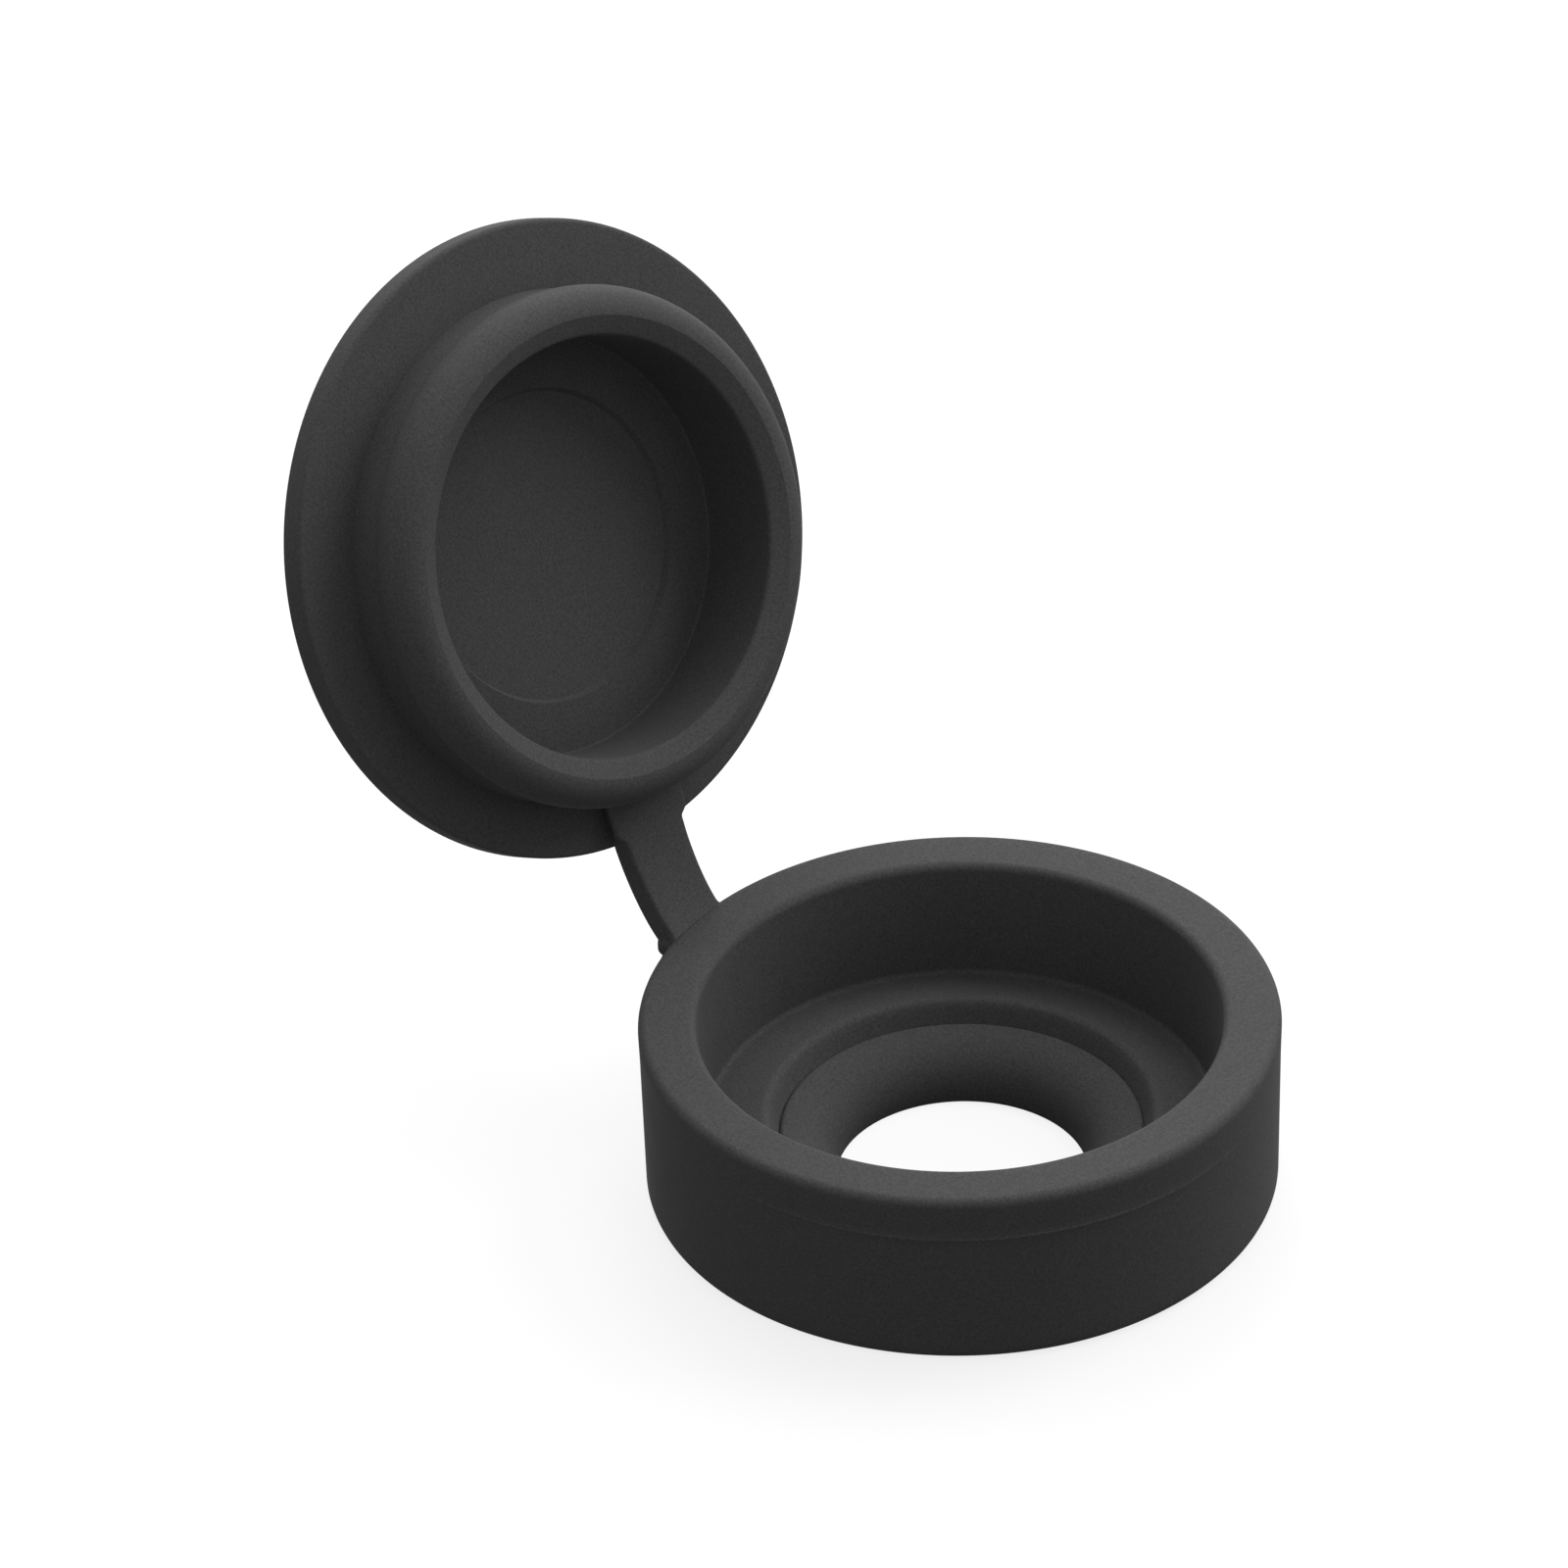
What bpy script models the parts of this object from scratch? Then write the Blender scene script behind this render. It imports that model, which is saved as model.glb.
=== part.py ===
# Hinged screw cover cap: a cup with a screw hole in its floor, a snap-in lid
# and the thin strap between them, moulded in one piece and shown open.
# Metres, +Z up. The screw's axis is Z and the cup's underside lies at Z = 0.
import bpy
import bmesh
import numpy as np
from math import asin, cos, pi, radians, sin, tan
from mathutils import Matrix, Vector

MM = 0.001

# Cup
CUP_RADIUS = 6.25 * MM
CUP_HEIGHT = 3.81 * MM
CUP_DRAFT = radians(0.7)
PARTING_DROP = 0.91 * MM
RIM_WIDTH = 1.13 * MM
RIM_ROUND = 0.18 * MM
RIM_INNER_ROUND = 0.17 * MM
FOOT_ROUND = 0.38 * MM
BORE_DRAFT = radians(3.5)
FLOOR_HEIGHT = 1.36 * MM
FLOOR_ROUND = 0.10 * MM

# Seat for the screw's head
HOLE_RADIUS = 2.46 * MM
HOLE_LAND = 0.04 * MM
SEAT_ROUND = 1.10 * MM
SEAT_SLOPE = radians(9.0)
RIDGE_RADIUS = 4.07 * MM
RIDGE_HEIGHT = 0.16 * MM
RIDGE_ROUND = 0.41 * MM

# Lid
FLANGE_THICKNESS = 0.68 * MM
FLANGE_ROUND = 0.10 * MM
BACK_ROUND = 0.25 * MM
LIP_HEIGHT = 1.65 * MM
LIP_WIDTH = 0.98 * MM
LIP_FALL = 0.10 * MM
LIP_INNER_ROUND = 0.10 * MM
BEAD_ROUND = 0.59 * MM
NECK_DEPTH = 0.08 * MM
RING_FILLET = 0.06 * MM
RING_CLEARANCE = 0.02 * MM
RING_OFFSET = 0.15 * MM
WELL_DEPTH = 0.44 * MM
WELL_ROUND = 0.10 * MM
DISC_RADIUS = 3.08 * MM
DISC_LEDGE = 0.34 * MM
DISC_STEP = 0.08 * MM
DISC_SLOPE = 0.09 * MM

# Strap, and how far it has been bent open
STRAP_WIDTH = 1.50 * MM
STRAP_THICKNESS = 0.49 * MM
STRAP_EDGE_ROUND = 0.08 * MM
ROOT_FILLET = 0.24 * MM
STRAP_SEAT = 0.09 * MM
ROOT_DEPTH = 0.30 * MM
ROOT_DROP = 0.17 * MM
ROOT_RISE = radians(40.0)
BEND_SHARE = 0.24
LID_REACH = 1.18 * MM
LID_RISE = 1.46 * MM
LID_SIDE = 0.13 * MM
LID_TILT = radians(66.8)
LID_TWIST = radians(-12.3)
LID_SPIN = radians(-1.5)

# Stub under the strap's root
STUB_WIDTH = 1.76 * MM
STUB_HEIGHT = 0.52 * MM
STUB_REACH = 0.38 * MM
STUB_ROUND = 0.14 * MM
STUB_DROP = 0.08 * MM

# Facets
TURN_STEPS = 72
BEND_STEPS = 16
ARC_STEP = radians(18.0)


def clear_scene():
    """Remove every object that the scene starts with."""
    for item in list(bpy.data.objects):
        bpy.data.objects.remove(item, do_unlink=True)


def arc(centre_r, centre_z, radius, start, end):
    """Points on an arc in the profile's plane, both ends included."""
    count = max(2, int(round(abs(end - start) / ARC_STEP)) + 1)
    return [
        (centre_r + radius * cos(a), centre_z + radius * sin(a))
        for a in np.linspace(start, end, count)
    ]


def cup_profile():
    """The cup's section, down the outer wall and back up the bore."""
    top = CUP_HEIGHT
    parting = top - PARTING_DROP
    foot = CUP_RADIUS - parting * tan(CUP_DRAFT)
    bore = CUP_RADIUS - RIM_WIDTH
    bore_foot = bore - (top - FLOOR_HEIGHT) * tan(BORE_DRAFT)
    crest = FLOOR_HEIGHT + RIDGE_HEIGHT
    ridge_centre = crest - RIDGE_ROUND
    throat = HOLE_RADIUS + SEAT_ROUND
    seat_end = throat - SEAT_ROUND * sin(SEAT_SLOPE)
    seat_top = HOLE_LAND + SEAT_ROUND * cos(SEAT_SLOPE)
    groove = seat_top + (RIDGE_RADIUS - RIDGE_ROUND - seat_end) * tan(SEAT_SLOPE)
    ridge_start = pi - asin(np.clip((groove - ridge_centre) / RIDGE_ROUND, -0.5, 0.9))
    points = arc(bore + RIM_INNER_ROUND, top - RIM_INNER_ROUND, RIM_INNER_ROUND, pi, pi / 2)
    points += arc(CUP_RADIUS - RIM_ROUND, top - RIM_ROUND, RIM_ROUND, pi / 2, 0.0)
    points.append((CUP_RADIUS, parting))
    points += arc(foot - FOOT_ROUND, FOOT_ROUND, FOOT_ROUND, 0.0, -pi / 2)
    points.append((HOLE_RADIUS, 0.0))
    points += arc(throat, HOLE_LAND, SEAT_ROUND, pi, pi / 2 + SEAT_SLOPE)
    points += arc(RIDGE_RADIUS, ridge_centre, RIDGE_ROUND, ridge_start, radians(83.0))
    points += arc(bore_foot - FLOOR_ROUND, FLOOR_HEIGHT + FLOOR_ROUND, FLOOR_ROUND, -pi / 2, 0.0)
    return points


def lid_profile():
    """The lid's section about its own axis; the flange's inner face is at 0."""
    bead = CUP_RADIUS - RIM_WIDTH - RING_CLEARANCE
    bead_r = bead - BEAD_ROUND
    bead_z = LIP_HEIGHT - BEAD_ROUND
    neck = bead - NECK_DEPTH
    well = bead - LIP_WIDTH
    lip = LIP_HEIGHT - LIP_FALL - LIP_INNER_ROUND
    ledge = -DISC_LEDGE
    disc = ledge - DISC_STEP
    points = [(0.0, disc), (DISC_RADIUS - DISC_SLOPE, disc), (DISC_RADIUS, ledge)]
    points += arc(well - WELL_ROUND, WELL_ROUND - WELL_DEPTH, WELL_ROUND, -pi / 2, 0.0)
    points += arc(well + LIP_INNER_ROUND, lip, LIP_INNER_ROUND, pi, radians(108.0))
    points += arc(bead_r, bead_z, BEAD_ROUND, radians(96.0), radians(-38.0))
    points += arc(neck + RING_FILLET, RING_FILLET, RING_FILLET, pi, 1.5 * pi)
    points += arc(CUP_RADIUS - FLANGE_ROUND, -FLANGE_ROUND, FLANGE_ROUND, pi / 2, 0.0)
    points += arc(CUP_RADIUS - BACK_ROUND, BACK_ROUND - FLANGE_THICKNESS, BACK_ROUND, 0.0, -pi / 2)
    points.append((0.0, -FLANGE_THICKNESS))
    return points


def turned(name, points, closed):
    """Turn a section about Z with a Screw modifier."""
    mesh = bpy.data.meshes.new(name)
    count = len(points)
    edges = [(i, i + 1) for i in range(count - 1)]
    if closed:
        edges.append((count - 1, 0))
    mesh.from_pydata([(r, 0.0, z) for r, z in points], edges, [])
    item = bpy.data.objects.new(name, mesh)
    screw = item.modifiers.new("Turn", "SCREW")
    screw.angle = 2.0 * pi
    screw.steps = TURN_STEPS
    screw.render_steps = TURN_STEPS
    screw.use_merge_vertices = True
    screw.merge_threshold = 0.00001
    screw.use_normal_calculate = True
    return item


def set_off_ring(lid):
    """Move the ring and well towards the strap, and leave the flange's edge in place."""
    edge = CUP_RADIUS - FLANGE_ROUND
    ring = CUP_RADIUS - RIM_WIDTH - RING_CLEARANCE
    moved = lid.vertex_groups.new(name="inside the edge")
    for corner in lid.data.vertices:
        share = np.clip((edge - corner.co.x) / (edge - ring), 0.0, 1.0)
        moved.add([corner.index], float(share), "REPLACE")
    shift = lid.modifiers.new("Set off", "DISPLACE")
    shift.direction = "X"
    shift.mid_level = 0.0
    shift.strength = RING_OFFSET
    shift.vertex_group = moved.name


def smooth(item):
    """Shade a body smooth, with its corners kept sharp."""
    item.data.shade_smooth()
    item.data.set_sharp_from_angle(angle=radians(40.0))


def lid_pose():
    """The open lid's place: its hinge edge stands above and outside the rim."""
    spin = Matrix.Rotation(LID_TWIST, 4, "Z") @ Matrix.Rotation(LID_TILT, 4, "Y")
    spin = spin @ Matrix.Rotation(LID_SPIN, 4, "Z")
    edge = Vector((-CUP_RADIUS - LID_REACH, LID_SIDE, CUP_HEIGHT + LID_RISE))
    centre = edge - spin @ Vector((CUP_RADIUS, 0.0, 0.0))
    return Matrix.Translation(centre) @ spin


def strap_stations(pose):
    """Centre, tangent and width direction along the strap, cup to lid."""
    side = np.array(pose.to_3x3().col[1])
    down = np.array(pose.to_3x3().col[0])
    inward = np.array(pose.to_3x3().col[2])
    lift = STRAP_THICKNESS / 2 - STRAP_SEAT
    edge = np.array(pose @ Vector((CUP_RADIUS, 0.0, 0.0))) + lift * inward
    root = np.array((ROOT_DEPTH - CUP_RADIUS, 0.0, CUP_HEIGHT - ROOT_DROP - STRAP_THICKNESS / 2))
    rise = np.array((-cos(ROOT_RISE), 0.0, sin(ROOT_RISE)))
    span = np.linalg.norm(edge - root)
    reach = BEND_SHARE * span
    knots = (root, root + rise * reach, edge + down * reach, edge)
    t = np.linspace(0.0, 1.0, BEND_STEPS + 1)[:, None]
    weights = ((1 - t) ** 3, 3 * t * (1 - t) ** 2, 3 * t**2 * (1 - t), t**3)
    centre = sum(w * k for w, k in zip(weights, knots))
    slope = (1 - t) ** 2 * (knots[1] - knots[0]) + 2 * t * (1 - t) * (knots[2] - knots[1])
    slope = slope + t**2 * (knots[3] - knots[2])
    across = (1 - t) * np.array((0.0, 1.0, 0.0)) + t * side
    bead = CUP_RADIUS - RIM_WIDTH - RING_CLEARANCE
    reach = CUP_RADIUS - bead + NECK_DEPTH + WELL_ROUND
    centre = np.vstack((centre, edge - down * reach))
    slope = np.vstack((slope, -down))
    across = np.vstack((across, side))
    return centre, slope, across


def flare(distance, fillet):
    """How much a fillet widens the strap at a distance from where it ends."""
    near = np.clip(distance, 0.0, fillet)
    return fillet - np.sqrt(fillet**2 - (fillet - near) ** 2)


def strap_body(pose):
    """Loft the strap's rounded section along its bent and twisted centre line."""
    centre, slope, across = strap_stations(pose)
    along = slope / np.linalg.norm(slope, axis=1)[:, None]
    across = across - along * np.sum(across * along, axis=1)[:, None]
    across = across / np.linalg.norm(across, axis=1)[:, None]
    up = np.cross(along, across)
    run = np.concatenate(((0.0,), np.cumsum(np.linalg.norm(np.diff(centre, axis=0), axis=1))))
    half = STRAP_WIDTH / 2 + flare(run - ROOT_DEPTH, ROOT_FILLET)
    corner = STRAP_EDGE_ROUND
    rise = STRAP_THICKNESS / 2
    shape = ((-1, 0, 0, -1), (-1, 1, -1, 0), (1, -1, -1, 0), (1, 0, 0, -1))
    shape += ((1, 0, 0, 1), (1, -1, 1, 0), (-1, 1, 1, 0), (-1, 0, 0, 1))
    loops = []
    for station in range(len(centre)):
        for wide, inset, high, drop in shape:
            x = wide * half[station] + inset * corner
            z = high * rise + drop * (rise - corner)
            loops.append(centre[station] + x * across[station] + z * up[station])
    ring = len(shape)
    faces = []
    for station in range(len(centre) - 1):
        for k in range(ring):
            a = station * ring + k
            b = station * ring + (k + 1) % ring
            faces.append((a, b, b + ring, a + ring))
    faces.append(tuple(reversed(range(ring))))
    faces.append(tuple(range(len(loops) - ring, len(loops))))
    mesh = bpy.data.meshes.new("strap")
    mesh.from_pydata([tuple(p) for p in loops], [], faces)
    shell = bmesh.new()
    shell.from_mesh(mesh)
    bmesh.ops.recalc_face_normals(shell, faces=shell.faces)
    shell.to_mesh(mesh)
    shell.free()
    return bpy.data.objects.new("strap", mesh)


def stub_body():
    """The rounded stub on the cup's wall under the strap's root."""
    mesh = bpy.data.meshes.new("stub")
    shell = bmesh.new()
    bmesh.ops.create_cube(shell, size=1.0)
    depth = STUB_REACH + ROOT_DEPTH
    bmesh.ops.scale(shell, vec=(depth, STUB_WIDTH, STUB_HEIGHT), verts=shell.verts)
    shell.to_mesh(mesh)
    shell.free()
    item = bpy.data.objects.new("stub", mesh)
    item.location.x = -CUP_RADIUS + ROOT_DEPTH - depth / 2
    item.location.z = CUP_HEIGHT - STUB_DROP - STUB_HEIGHT / 2
    bevel = item.modifiers.new("Round", "BEVEL")
    bevel.width = STUB_ROUND
    bevel.segments = 4
    return item


def join_with(item, other):
    """Fuse another body into this one."""
    union = item.modifiers.new("Fuse " + other.name, "BOOLEAN")
    union.operation = "UNION"
    union.solver = "EXACT"
    union.object = other
    other.hide_render = True
    other.display_type = "WIRE"


def plastic():
    """Dark grey moulded plastic with a fine matt grain."""
    item = bpy.data.materials.new("dark_grey_plastic")
    item.use_nodes = True
    shader = item.node_tree.nodes["Principled BSDF"]
    shader.inputs["Base Color"].default_value = (0.060, 0.060, 0.061, 1.0)
    shader.inputs["Roughness"].default_value = 0.55
    shader.inputs["Metallic"].default_value = 0.0
    item.diffuse_color = (0.060, 0.060, 0.061, 1.0)
    return item


def build():
    """Make the cup, lid, strap and stub, and fuse them into one moulding."""
    clear_scene()
    cap = turned("screw_cover_cap", cup_profile(), True)
    cap.data.materials.append(plastic())
    lid = turned("lid", lid_profile(), False)
    set_off_ring(lid)
    lid.matrix_world = lid_pose()
    strap = strap_body(lid_pose())
    stub = stub_body()
    whole = bpy.data.collections.new("Screw cover cap")
    joined = bpy.data.collections.new("Joined bodies")
    for group in (whole, joined):
        bpy.context.scene.collection.children.link(group)
    whole.objects.link(cap)
    for item in (strap, stub, lid):
        joined.objects.link(item)
        join_with(cap, item)
    for item in (strap, stub):
        smooth(item)


build()
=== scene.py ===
from math import cos, pi, radians, sin, tan

import bmesh
import bpy
import numpy as np
from mathutils import Matrix, Vector


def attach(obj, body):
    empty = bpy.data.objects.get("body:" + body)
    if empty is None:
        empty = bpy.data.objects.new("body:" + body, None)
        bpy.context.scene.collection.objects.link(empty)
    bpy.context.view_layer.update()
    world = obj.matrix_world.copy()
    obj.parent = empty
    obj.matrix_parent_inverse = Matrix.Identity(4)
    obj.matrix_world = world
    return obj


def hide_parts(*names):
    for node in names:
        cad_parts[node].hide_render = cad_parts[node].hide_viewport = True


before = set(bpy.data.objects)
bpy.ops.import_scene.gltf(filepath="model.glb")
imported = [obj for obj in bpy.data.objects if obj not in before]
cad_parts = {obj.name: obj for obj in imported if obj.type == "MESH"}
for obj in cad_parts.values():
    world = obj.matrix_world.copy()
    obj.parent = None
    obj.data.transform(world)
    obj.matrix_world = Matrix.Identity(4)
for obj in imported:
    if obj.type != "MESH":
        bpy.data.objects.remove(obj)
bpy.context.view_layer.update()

# The cap stands on a pale table top under soft light from above. The table is
# one large sheet that runs out past every side of the view.
TABLE_SIDE = 3.0
TABLE_BOUNCE = (0.08, 0.08, 0.08, 1.0)
TABLE_SHADE = (0.25, 0.25, 0.25, 1.0)
TABLE_GLOW = 0.80


class Finish:
    """A material or world being put together: makes its nodes and links."""

    def __init__(self, owner):
        owner.use_nodes = True
        self.tree = owner.node_tree
        self.tree.nodes.clear()

    def node(self, kind, settings=(), **values):
        """Add a node, set its settings, then fill or link its input sockets."""
        made = self.tree.nodes.new(kind)
        for name, value in dict(settings).items():
            setattr(made, name, value)
        for name, value in values.items():
            key = int(name[1:]) if name[0] == "i" and name[1:].isdigit() else name.replace("_", " ")
            socket = made.inputs[key]
            if isinstance(value, Reading):
                self.tree.links.new(value.socket, socket)
            elif isinstance(value, bpy.types.NodeSocket):
                self.tree.links.new(value, socket)
            else:
                socket.default_value = value
        return made


class Reading:
    """A value that varies over a surface, with arithmetic that adds Math nodes."""

    def __init__(self, finish, socket):
        self.finish = finish
        self.socket = socket

    def math(self, operation, *terms):
        sockets = {"i%d" % k: term for k, term in enumerate((self,) + terms)}
        made = self.finish.node("ShaderNodeMath", {"operation": operation}, **sockets)
        return Reading(self.finish, made.outputs[0])

    def __add__(self, other):
        return self.math("ADD", other)

    def __radd__(self, other):
        return self.math("ADD", other)

    def __sub__(self, other):
        return self.math("SUBTRACT", other)

    def __mul__(self, other):
        return self.math("MULTIPLY", other)


def seen_directly(finish):
    """1 for camera, transmission and glossy rays, and 0 for those that only carry light."""
    path = finish.node("ShaderNodeLightPath")
    seen = Reading(finish, path.outputs["Is Camera Ray"])
    for ray in ("Is Transmission Ray", "Is Glossy Ray"):
        seen = seen.math("MAXIMUM", Reading(finish, path.outputs[ray]))
    return seen


def direction(azimuth, height):
    """Unit vector at an angle round from +X and an angle up from the table."""
    return Vector((cos(height) * cos(azimuth), cos(height) * sin(azimuth), sin(height)))


table_mesh = bpy.data.meshes.new("table_top")
half = TABLE_SIDE / 2
table_mesh.from_pydata(
    [(-half, -half, 0.0), (half, -half, 0.0), (half, half, 0.0), (-half, half, 0.0)],
    [],
    [(0, 1, 2, 3)],
)
table = bpy.data.objects.new("table_top", table_mesh)
bpy.context.scene.collection.objects.link(table)

table_paint = bpy.data.materials.new("table_white")
paint = Finish(table_paint)
seen = seen_directly(paint)
matt = paint.node("ShaderNodeBsdfDiffuse", Color=TABLE_BOUNCE)
shade = paint.node("ShaderNodeBsdfDiffuse", Color=TABLE_SHADE)
glow = paint.node("ShaderNodeEmission", Color=(1.0, 1.0, 1.0, 1.0), Strength=TABLE_GLOW)
lit = paint.node("ShaderNodeAddShader", i0=shade.outputs[0], i1=glow.outputs[0])
either = paint.node("ShaderNodeMixShader", i0=seen, i1=matt.outputs[0], i2=lit.outputs[0])
paint.node("ShaderNodeOutputMaterial", Surface=either.outputs[0])
table_mesh.materials.append(table_paint)

# The room is an even soft light with a white backdrop, and four broad round
# lamps stand behind and above the cap: two straight behind it, one well to the
# right and one a little to the left.
ROOM_LEVEL = 0.42
LAMP_SIZE = 0.182
LAMP_DISTANCE = 0.25
LAMPS = (
    ("lamp_high", radians(123.7), radians(68.0), 0.155),
    ("lamp_low", radians(123.7), radians(14.0), 0.250),
    ("lamp_right", radians(56.2), radians(40.0), 0.288),
    ("lamp_left", radians(146.2), radians(40.0), 0.132),
)

room = bpy.data.worlds.new("room")
bpy.context.scene.world = room
air = Finish(room)
level = seen_directly(air) * (1.0 - ROOM_LEVEL) + ROOM_LEVEL
backdrop = air.node("ShaderNodeBackground", Color=(1.0, 1.0, 1.0, 1.0), Strength=level)
air.node("ShaderNodeOutputWorld", Surface=backdrop.outputs[0])

for name, azimuth, height, power in LAMPS:
    bulb = bpy.data.lights.new(name, "AREA")
    bulb.shape = "DISK"
    bulb.size = LAMP_SIZE
    bulb.energy = power
    lamp = bpy.data.objects.new(name, bulb)
    bpy.context.scene.collection.objects.link(lamp)
    lamp.location = LAMP_DISTANCE * direction(azimuth, height)
    lamp.rotation_euler = lamp.location.to_track_quat("Z", "Y").to_euler()

# The camera is a long lens about 27 cm away, 34 degrees above the table and
# held a little off level. It looks at a point above the strap's side of the cup.
CAMERA_AZIMUTH = radians(-55.44)
CAMERA_HEIGHT = radians(33.97)
CAMERA_ROLL = radians(-1.5)
CAMERA_DISTANCE = 0.268
CAMERA_AIM = Vector((-0.00502, 0.00149, 0.00656))

camera_data = bpy.data.cameras.new("camera")
camera_data.lens = 315.0
camera_data.sensor_width = 36.0
camera_data.clip_start = 0.01
camera_data.clip_end = 10.0
camera = bpy.data.objects.new("camera", camera_data)
bpy.context.scene.collection.objects.link(camera)
back = direction(CAMERA_AZIMUTH, CAMERA_HEIGHT)
turn = back.to_track_quat("Z", "Y").to_matrix() @ Matrix.Rotation(CAMERA_ROLL, 3, "Z")
camera.matrix_world = Matrix.Translation(CAMERA_AIM + CAMERA_DISTANCE * back) @ turn.to_4x4()
bpy.context.scene.camera = camera
bpy.context.scene.view_settings.view_transform = "Standard"

# The cup: a shallow round cup that the screw clamps to the board. It is the
# body of the moulding, with a seat for the screw's head in its floor and a
# parting line round its wall. Soft plastic, dark grey all through.
MM = 0.001
CUP_RADIUS = 6.25 * MM
CUP_HEIGHT = 3.81 * MM
CUP_DRAFT = radians(1.0)
RIM_DRAFT = radians(1.8)
PARTING_DROP = 0.91 * MM
PARTING_BEAD = 0.022 * MM
PARTING_WIDTH = 0.05 * MM
PARTING_FACING = radians(-50.0)
RIM_WIDTH = 1.13 * MM
RIM_ROUND = 0.18 * MM
RIM_INNER_ROUND = 0.17 * MM
FOOT_ROUND = 0.28 * MM
BORE_DRAFT = radians(3.5)
FLOOR_HEIGHT = 1.36 * MM
FLOOR_ROUND = 0.10 * MM
HOLE_RADIUS = 2.46 * MM
HOLE_LAND = 0.04 * MM
SEAT_ROUND = 1.10 * MM
SEAT_SLOPE = radians(6.0)
SEAT_RADIUS = 3.56 * MM
SEAT_EDGE = 0.09 * MM
RIDGE_RADIUS = 3.90 * MM
RIDGE_HEIGHT = 0.18 * MM
RIDGE_ROUND = 0.20 * MM
RIDGE_INNER_FACING = radians(140.0)
RIDGE_OUTER_FACING = radians(80.0)
FINE_SPREAD = radians(13.0)
FINE_STEP = radians(0.25)
PLAIN_STEP = radians(1.5)
SMALL_ROUND_STEP = radians(10.0)
ROUND_STEP = radians(7.5)
LARGE_ROUND_STEP = radians(5.0)
PARTING_POINTS = 9
SECTION_STEP = 0.22 * MM
WELD_DISTANCE = 0.0001 * MM


def arc(centre, radius, start, end, step=ROUND_STEP):
    """Points on an arc: centre + radius (cos a, sin a), a running from start to end."""
    count = max(3, int(np.ceil(abs(end - start) / step)) + 1)
    a = np.linspace(start, end, count)
    return np.column_stack((centre[0] + radius * np.cos(a), centre[1] + radius * np.sin(a)))


def outline(pieces, step):
    """Join arcs and points with straight runs, cut so that no run is longer than step."""
    chain = np.vstack([np.atleast_2d(piece) for piece in pieces])
    runs = []
    for start, end in zip(chain[:-1], chain[1:]):
        count = max(1, int(np.ceil(np.linalg.norm(end - start) / step)))
        t = np.arange(count)[:, None] / count
        runs.append(start + t * (end - start))
    runs.append(chain[-1:])
    return np.vstack(runs)


def turning_angles(fine_at):
    """Angles once round, close together near the strap and wider elsewhere."""
    fine = np.arange(-FINE_SPREAD, FINE_SPREAD, FINE_STEP)
    rest = 2 * pi - 2 * FINE_SPREAD
    plain = FINE_SPREAD + np.arange(0.0, rest, rest / np.ceil(rest / PLAIN_STEP))
    return fine_at + np.concatenate((fine, plain))


def turned_points(section, angles):
    """Grid of (r cos a, r sin a, z), section points along the first axis."""
    r = section[:, 0][:, None]
    z = section[:, 1][:, None] + 0.0 * angles
    return np.stack((r * np.cos(angles), r * np.sin(angles), z), axis=2)


def grid_mesh(name, points, close_rows):
    """Skin a grid of points with quads; columns always close on themselves."""
    rows, columns = points.shape[:2]
    down = np.arange(rows if close_rows else rows - 1)[:, None]
    across = np.arange(columns)[None, :]
    below = (down + 1) % rows
    beside = (across + 1) % columns
    corners = (
        down * columns + across,
        down * columns + beside,
        below * columns + beside,
        below * columns + across,
    )
    faces = np.stack([np.broadcast_to(c, (len(down), columns)) for c in corners], axis=2)
    mesh = bpy.data.meshes.new(name)
    mesh.from_pydata(points.reshape(-1, 3).tolist(), [], faces.reshape(-1, 4).tolist())
    clean = bmesh.new()
    clean.from_mesh(mesh)
    bmesh.ops.remove_doubles(clean, verts=clean.verts, dist=WELD_DISTANCE)
    open_rims = [edge for edge in clean.edges if edge.is_boundary]
    if open_rims:
        bmesh.ops.holes_fill(clean, edges=open_rims, sides=0)
    bmesh.ops.recalc_face_normals(clean, faces=clean.faces)
    clean.to_mesh(mesh)
    clean.free()
    return mesh


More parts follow.
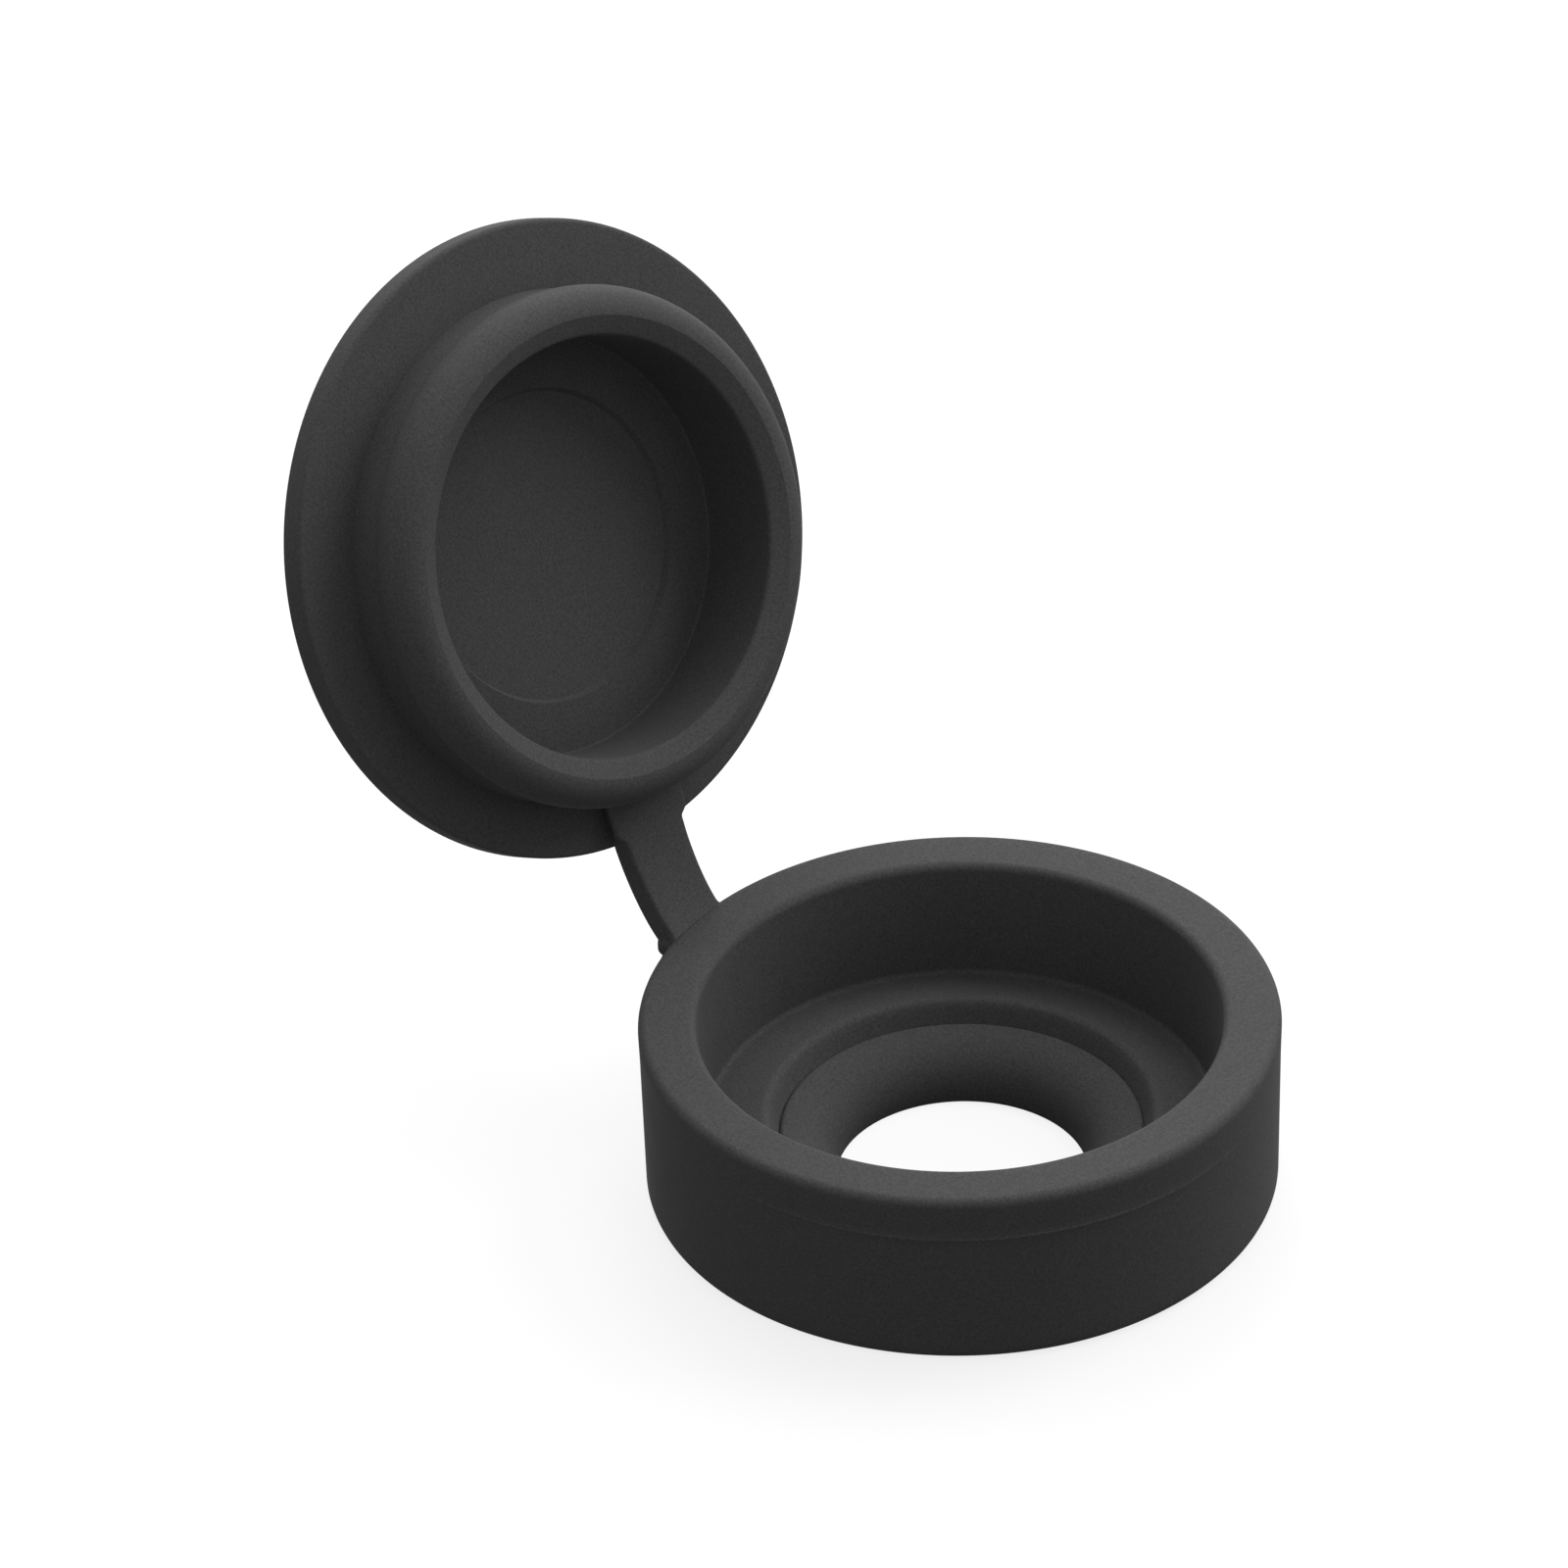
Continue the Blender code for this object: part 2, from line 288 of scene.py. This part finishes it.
def cup_section():
    """The cup's section as r, z: rim, outer wall, foot, hole, seat, ridge, floor, bore."""
    parting = CUP_HEIGHT - PARTING_DROP
    waist = CUP_RADIUS - (PARTING_DROP - RIM_ROUND) * tan(RIM_DRAFT)
    foot = waist - parting * tan(CUP_DRAFT)
    bore = CUP_RADIUS - RIM_WIDTH
    bore_foot = bore - (CUP_HEIGHT - FLOOR_HEIGHT) * tan(BORE_DRAFT)
    ridge_z = FLOOR_HEIGHT + RIDGE_HEIGHT - RIDGE_ROUND
    throat = HOLE_RADIUS + SEAT_ROUND
    seat_end = throat - SEAT_ROUND * sin(SEAT_SLOPE)
    seat_top = HOLE_LAND + SEAT_ROUND * cos(SEAT_SLOPE)
    edge = SEAT_RADIUS - SEAT_EDGE
    groove = seat_top + (edge - seat_end) * tan(SEAT_SLOPE) - SEAT_EDGE
    inner = (bore + RIM_INNER_ROUND, CUP_HEIGHT - RIM_INNER_ROUND)
    outer = (CUP_RADIUS - RIM_ROUND, CUP_HEIGHT - RIM_ROUND)
    bead = PARTING_WIDTH * np.linspace(1.0, -1.0, PARTING_POINTS)
    wall = np.column_stack((waist + 0.0 * bead, parting + bead))
    return outline(
        (
            arc(inner, RIM_INNER_ROUND, pi, pi / 2, SMALL_ROUND_STEP),
            arc(outer, RIM_ROUND, pi / 2, 0.0),
            wall,
            arc((foot - FOOT_ROUND, FOOT_ROUND), FOOT_ROUND, 0.0, -pi / 2, SMALL_ROUND_STEP),
            (HOLE_RADIUS, 0.0),
            arc((throat, HOLE_LAND), SEAT_ROUND, pi, pi / 2 + SEAT_SLOPE, LARGE_ROUND_STEP),
            arc((edge, groove), SEAT_EDGE, pi / 2 + SEAT_SLOPE, 0.0, SMALL_ROUND_STEP),
            arc((RIDGE_RADIUS, ridge_z), RIDGE_ROUND, RIDGE_INNER_FACING, RIDGE_OUTER_FACING),
            arc((bore_foot - FLOOR_ROUND, FLOOR_HEIGHT + FLOOR_ROUND), FLOOR_ROUND, -pi / 2, 0.0),
        ),
        SECTION_STEP,
    )


def parting_swell(points):
    """Cup grid with a fine ridge, 1 - (height / width) squared, squared, strongest in front."""
    height = np.clip(np.abs(points[:, :, 2] - (CUP_HEIGHT - PARTING_DROP)) / PARTING_WIDTH, 0.0, 1.0)
    out = points[:, :, :2] / np.linalg.norm(points[:, :, :2], axis=2)[:, :, None]
    facing = out @ np.array((cos(PARTING_FACING), sin(PARTING_FACING)))
    reach = np.linalg.norm(points[:, :, :2], axis=2) > CUP_RADIUS - RIM_WIDTH / 2
    swell = PARTING_BEAD * reach * (1.0 - height**2) ** 2 * np.clip(facing, 0.0, 1.0) ** 2
    shift = np.zeros_like(points)
    shift[:, :, :2] = swell[:, :, None] * out
    return points + shift


cup_points = parting_swell(turned_points(cup_section(), turning_angles(pi)))
cup_mesh = grid_mesh("cup", cup_points, True)

# The lid: a thin flange with a rounded ring that snaps into the cup's bore,
# moulded with the cup and bent open on its strap. The ring sits a little
# towards the strap, and inside it lies a shallow well with a round recess.
FLANGE_RADIUS = 6.245 * MM
FLANGE_THICKNESS = 0.68 * MM
FLANGE_ROUND = 0.10 * MM
BACK_ROUND = 0.25 * MM
LIP_HEIGHT = 1.65 * MM
LIP_WIDTH = 0.98 * MM
LIP_FALL = 0.14 * MM
LIP_INNER_ROUND = 0.10 * MM
BEVEL_FACING = radians(116.0)
BEAD_ROUND = 0.59 * MM
BEAD_END = radians(-38.0)
NECK_DEPTH = 0.08 * MM
RING_CLEARANCE = 0.02 * MM
RING_OFFSET = 0.15 * MM
WELL_DEPTH = 0.44 * MM
WELL_ROUND = 0.04 * MM
DISC_RADIUS = 3.08 * MM
DISC_LEDGE = 0.34 * MM
DISC_STEP = 0.12 * MM
DISC_SLOPE = 0.07 * MM
LID_REACH = 1.18 * MM
LID_RISE = 1.46 * MM
LID_SIDE = 0.13 * MM
LID_TILT = radians(66.8)
LID_TWIST = radians(-12.3)
LID_SPIN = radians(-1.5)
RING_RADIUS = CUP_RADIUS - RIM_WIDTH - RING_CLEARANCE


def lid_section():
    """The lid's section as r, height above the flange's inner face, inside first."""
    bead = (RING_RADIUS - BEAD_ROUND, LIP_HEIGHT - BEAD_ROUND)
    neck = RING_RADIUS - NECK_DEPTH
    well = RING_RADIUS - LIP_WIDTH
    lip = (well + LIP_INNER_ROUND, LIP_HEIGHT - LIP_FALL - LIP_INNER_ROUND)
    ledge = -DISC_LEDGE
    disc = ledge - DISC_STEP
    front = (FLANGE_RADIUS - FLANGE_ROUND, -FLANGE_ROUND)
    back = (FLANGE_RADIUS - BACK_ROUND, BACK_ROUND - FLANGE_THICKNESS)
    return outline(
        (
            (0.0, disc),
            (DISC_RADIUS - DISC_SLOPE, disc),
            (DISC_RADIUS, ledge),
            arc((well - WELL_ROUND, WELL_ROUND - WELL_DEPTH), WELL_ROUND, -pi / 2, 0.0),
            arc(lip, LIP_INNER_ROUND, pi, BEVEL_FACING),
            arc(bead, BEAD_ROUND, pi / 2, BEAD_END, LARGE_ROUND_STEP),
            (neck, 0.0),
            arc(front, FLANGE_ROUND, pi / 2, 0.0, SMALL_ROUND_STEP),
            arc(back, BACK_ROUND, 0.0, -pi / 2, SMALL_ROUND_STEP),
            (0.0, -FLANGE_THICKNESS),
        ),
        SECTION_STEP,
    )


def lid_place():
    """Rotation and centre of the open lid, whose hinge edge stands above the rim."""
    spin = Matrix.Rotation(LID_TWIST, 3, "Z") @ Matrix.Rotation(LID_TILT, 3, "Y")
    spin = np.array(spin @ Matrix.Rotation(LID_SPIN, 3, "Z"))
    edge = np.array((-CUP_RADIUS - LID_REACH, LID_SIDE, CUP_HEIGHT + LID_RISE))
    return spin, edge - CUP_RADIUS * spin[:, 0]


def ring_set_off(points):
    """Lid grid with all inside the flange's edge moved, less and less towards that edge."""
    edge = FLANGE_RADIUS - FLANGE_ROUND
    radius = np.linalg.norm(points[:, :, :2], axis=2)
    share = np.clip((edge - radius) / (edge - RING_RADIUS), 0.0, 1.0)
    return points + share[:, :, None] * np.array((RING_OFFSET, 0.0, 0.0))


lid_spin, lid_centre = lid_place()
lid_points = ring_set_off(turned_points(lid_section(), turning_angles(0.0)))
lid_points = lid_points @ lid_spin.T + lid_centre
lid_mesh = grid_mesh("lid", lid_points, False)

# The strap: the flat band that holds the lid to the cup. It leaves the rim,
# bends up and twists to the lid, and lies in the flange up to the ring.
STRAP_WIDTH = 1.50 * MM
STRAP_THICKNESS = 0.49 * MM
STRAP_EDGE_ROUND = 0.08 * MM
ROOT_FILLET = 0.24 * MM
SEAT_FILLET = 0.18 * MM
SEAT_FADE = 0.15 * MM
STRAP_SEAT = 0.09 * MM
ROOT_DEPTH = 0.30 * MM
ROOT_DROP = 0.17 * MM
ROOT_RISE = radians(15.0)
BEND_SHARE = 0.24
BEND_STEPS = 120
SEAT_STEPS = 24
CORNER_POINTS = 5
FACE_POINTS = 14
EDGE_POINTS = 5
SIDE_SHARE = 0.8


def strap_line():
    """Centre, direction and width direction of the bent strap, from cup to lid.

    The line is a Bezier curve that starts at ROOT_RISE and ends in the lid's own
    plane, and the width direction turns evenly from the cup's to the lid's.
    """
    down = lid_spin[:, 0]
    side = lid_spin[:, 1]
    edge = lid_centre + CUP_RADIUS * down + (STRAP_THICKNESS / 2 - STRAP_SEAT) * lid_spin[:, 2]
    root = np.array((ROOT_DEPTH - CUP_RADIUS, 0.0, CUP_HEIGHT - ROOT_DROP - STRAP_THICKNESS / 2))
    rise = np.array((-cos(ROOT_RISE), 0.0, sin(ROOT_RISE)))
    reach = BEND_SHARE * np.linalg.norm(edge - root)
    k0, k1, k2, k3 = root, root + rise * reach, edge + down * reach, edge
    t = np.linspace(0.0, 1.0, BEND_STEPS + 1)[:, None]
    u = 1.0 - t
    centre = u**3 * k0 + 3 * t * u**2 * k1 + 3 * t**2 * u * k2 + t**3 * k3
    slope = u**2 * (k1 - k0) + 2 * t * u * (k2 - k1) + t**2 * (k3 - k2)
    across = u * np.array((0.0, 1.0, 0.0)) + t * side
    seat = CUP_RADIUS - RING_RADIUS + NECK_DEPTH + WELL_ROUND
    s = np.linspace(0.0, seat, SEAT_STEPS)[1:, None]
    centre = np.vstack((centre, edge - s * down))
    slope = np.vstack((slope, -down + 0.0 * s))
    across = np.vstack((across, side + 0.0 * s))
    along = slope / np.linalg.norm(slope, axis=1)[:, None]
    across = across - along * np.sum(across * along, axis=1)[:, None]
    across = across / np.linalg.norm(across, axis=1)[:, None]
    return centre, along, across


def flare(distance, fillet):
    """Extra half width of a quarter-round fillet at a distance from its foot."""
    near = np.clip(distance, 0.0, fillet)
    return fillet - np.sqrt(fillet**2 - (fillet - near) ** 2)


def band_section(half_width, half_height, corner):
    """Rounded rectangle as across, up offsets for each station along the strap."""
    turn = np.linspace(0.0, pi / 2, CORNER_POINTS)
    quarter = np.stack((np.cos(turn), np.sin(turn)), axis=1)
    signs = ((1, 1), (-1, 1), (-1, -1), (1, -1))
    rings = []
    for k, (sx, sy) in enumerate(signs):
        bend = quarter if k % 2 == 0 else quarter[::-1]
        x = sx * (half_width[:, None] - corner + corner * bend[:, 0])
        y = sy * (half_height - corner + corner * bend[:, 1]) + 0.0 * half_width[:, None]
        rings.append(np.stack((x, y), axis=2))
        next_sx = signs[(k + 1) % 4][0]
        if next_sx != sx:
            f = np.linspace(0.0, 1.0, FACE_POINTS)[1:-1]
            span = (half_width - corner)[:, None]
            rings.append(np.stack((sx * span * (1 - 2 * f), sy * half_height + 0.0 * span * f), axis=2))
        else:
            f = np.linspace(0.0, 1.0, EDGE_POINTS)[1:-1]
            span = half_height - corner
            run = np.broadcast_to(sy * span * (1 - 2 * f), (len(half_width), len(f)))
            rings.append(np.stack((sx * half_width[:, None] + 0.0 * run, run), axis=2))
    return np.concatenate(rings, axis=1)


def strap_grid():
    """The strap's skin: its section at each station, with fillets where it joins.

    Beside the flange's face the sides flare outwards, and before the ring the front
    face flares upwards, each by a quarter-round fillet of the distance from it.
    """
    centre, along, across = strap_line()
    up = np.cross(along, across)
    run = np.concatenate(((0.0,), np.cumsum(np.linalg.norm(np.diff(centre, axis=0), axis=1))))
    half = STRAP_WIDTH / 2 + flare(run - ROOT_DEPTH, ROOT_FILLET)
    offsets = band_section(half, STRAP_THICKNESS / 2, STRAP_EDGE_ROUND)
    x, y = offsets[:, :, :1], offsets[:, :, 1:]
    on_face = np.clip((run - run[BEND_STEPS]) / SEAT_FADE - 1.0, 0.0, 1.0)[:, None, None]
    above = np.clip(y + STRAP_THICKNESS / 2 - STRAP_SEAT, 0.0, None)
    at_side = np.abs(x) > SIDE_SHARE * half[:, None, None]
    x = x + np.sign(x) * on_face * flare(above, SEAT_FILLET) * at_side
    to_ring = run[BEND_STEPS] + CUP_RADIUS - RING_RADIUS - RING_OFFSET - run
    y = y + np.where(y > 0.0, flare(to_ring, SEAT_FILLET)[:, None, None], 0.0)
    return centre[:, None, :] + x * across[:, None, :] + y * up[:, None, :]


strap_mesh = grid_mesh("strap", strap_grid(), False)

# The stub: a small rounded lump on the cup's wall under the strap's root,
# left where the plastic ran into the mould.
STUB_WIDTH = 1.76 * MM
STUB_HEIGHT = 0.55 * MM
STUB_REACH = 0.42 * MM
STUB_DROP = 0.036 * MM
STUB_BLUNTNESS = 0.62
STUB_COLUMNS = 72
STUB_ROWS = 25


def lump_points():
    """A rounded block as a superellipsoid grid: each axis is |cos| or |sin| to a power."""
    a = np.linspace(0.0, 2 * pi, STUB_COLUMNS, endpoint=False)[None, :]
    b = np.linspace(-pi / 2, pi / 2, STUB_ROWS)[:, None]

    def eased(value):
        return np.sign(value) * np.abs(value) ** STUB_BLUNTNESS

    depth = (STUB_REACH + ROOT_DEPTH) / 2
    x = -CUP_RADIUS + ROOT_DEPTH - depth + depth * eased(np.cos(b)) * eased(np.cos(a))
    y = STUB_WIDTH / 2 * eased(np.sin(b)) + 0.0 * a
    z = CUP_HEIGHT - STUB_DROP - STUB_HEIGHT / 2
    z = z + STUB_HEIGHT / 2 * eased(np.cos(b)) * eased(np.sin(a))
    return np.stack((x, y, z), axis=2)


stub_mesh = grid_mesh("stub", lump_points(), False)

# The four are one moulding: the strap, stub and lid are fused to the cup, and
# the whole is dark grey plastic with the fine matt grain of a blasted mould.
PLASTIC_COLOUR = (0.080, 0.080, 0.081, 1.0)
PLASTIC_ROUGHNESS = 0.80
GRAIN_PITCH = 0.048 * MM
GRAIN_DEPTH = 0.004 * MM
GRAIN_TONE = 1.10
GRAIN_SHEEN = 0.20
COARSE_PITCH = 2.6 * GRAIN_PITCH
COARSE_SHARE = 0.8
CLOUD_PITCH = 0.9 * MM
CLOUD_TONE = 0.10
CLOUD_SHEEN = 0.10
FLOW_PITCH = 4.0 * MM
FLOW_TONE = 0.10
SLIVER = 0.00002 * MM
CREASE_ANGLE = radians(25.0)


def fused(base, others):
    """Union of closed meshes by Boolean modifiers, applied and freed of slivers."""
    base_object = bpy.data.objects.new(base.name, base)
    bpy.context.scene.collection.objects.link(base_object)
    tools = []
    for mesh in others:
        tool = bpy.data.objects.new(mesh.name, mesh)
        bpy.context.scene.collection.objects.link(tool)
        union = base_object.modifiers.new("Fuse", "BOOLEAN")
        union.operation = "UNION"
        union.solver = "EXACT"
        union.object = tool
        tools.append(tool)
    view = bpy.context.evaluated_depsgraph_get()
    whole = bpy.data.meshes.new_from_object(base_object.evaluated_get(view))
    clean = bmesh.new()
    clean.from_mesh(whole)
    bmesh.ops.dissolve_degenerate(clean, dist=SLIVER, edges=clean.edges)
    clean.to_mesh(whole)
    clean.free()
    for item in [base_object] + tools:
        bpy.data.objects.remove(item)
    return whole


cap_mesh = fused(cup_mesh, (strap_mesh, stub_mesh, lid_mesh))
cap_mesh.name = "moulded_cap"
cap_mesh.shade_smooth()
cap_mesh.set_sharp_from_angle(angle=CREASE_ANGLE)
cap = bpy.data.objects.new("moulded_cap", cap_mesh)
bpy.context.scene.collection.objects.link(cap)

plastic = bpy.data.materials.new("dark_grey_plastic")
coat = Finish(plastic)
place = coat.node("ShaderNodeTexCoord").outputs["Object"]


def grain(pitch, detail):
    """Noise whose lumps are about one pitch apart, from 0 to 1."""
    made = coat.node(
        "ShaderNodeTexNoise", Vector=place, Scale=1.0 / pitch, Detail=detail, Roughness=0.55
    )
    return Reading(coat, made.outputs[0])


fine = grain(GRAIN_PITCH, 2.0)
cloud = grain(CLOUD_PITCH, 2.0)
flow = grain(FLOW_PITCH, 3.0)
tone = (fine - 0.5) * GRAIN_TONE + (cloud - 0.5) * CLOUD_TONE + (flow - 0.5) * FLOW_TONE + 1.0
lit_colour = coat.node(
    "ShaderNodeVectorMath", {"operation": "SCALE"}, i0=PLASTIC_COLOUR[:3], Scale=tone
)
sheen = PLASTIC_ROUGHNESS + (fine - 0.5) * GRAIN_SHEEN + (cloud - 0.5) * CLOUD_SHEEN
height = fine + grain(COARSE_PITCH, 1.0) * COARSE_SHARE
pitted = coat.node("ShaderNodeBump", Height=height, Distance=GRAIN_DEPTH, Strength=0.6)
shader = coat.node(
    "ShaderNodeBsdfPrincipled",
    Base_Color=lit_colour.outputs[0],
    Roughness=sheen,
    Normal=pitted.outputs[0],
    IOR=1.46,
    Specular_IOR_Level=0.08,
)
coat.node("ShaderNodeOutputMaterial", Surface=shader.outputs[0])
cap_mesh.materials.clear()
cap_mesh.materials.append(plastic)

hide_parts("screw_cover_cap")
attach(cap, "root")
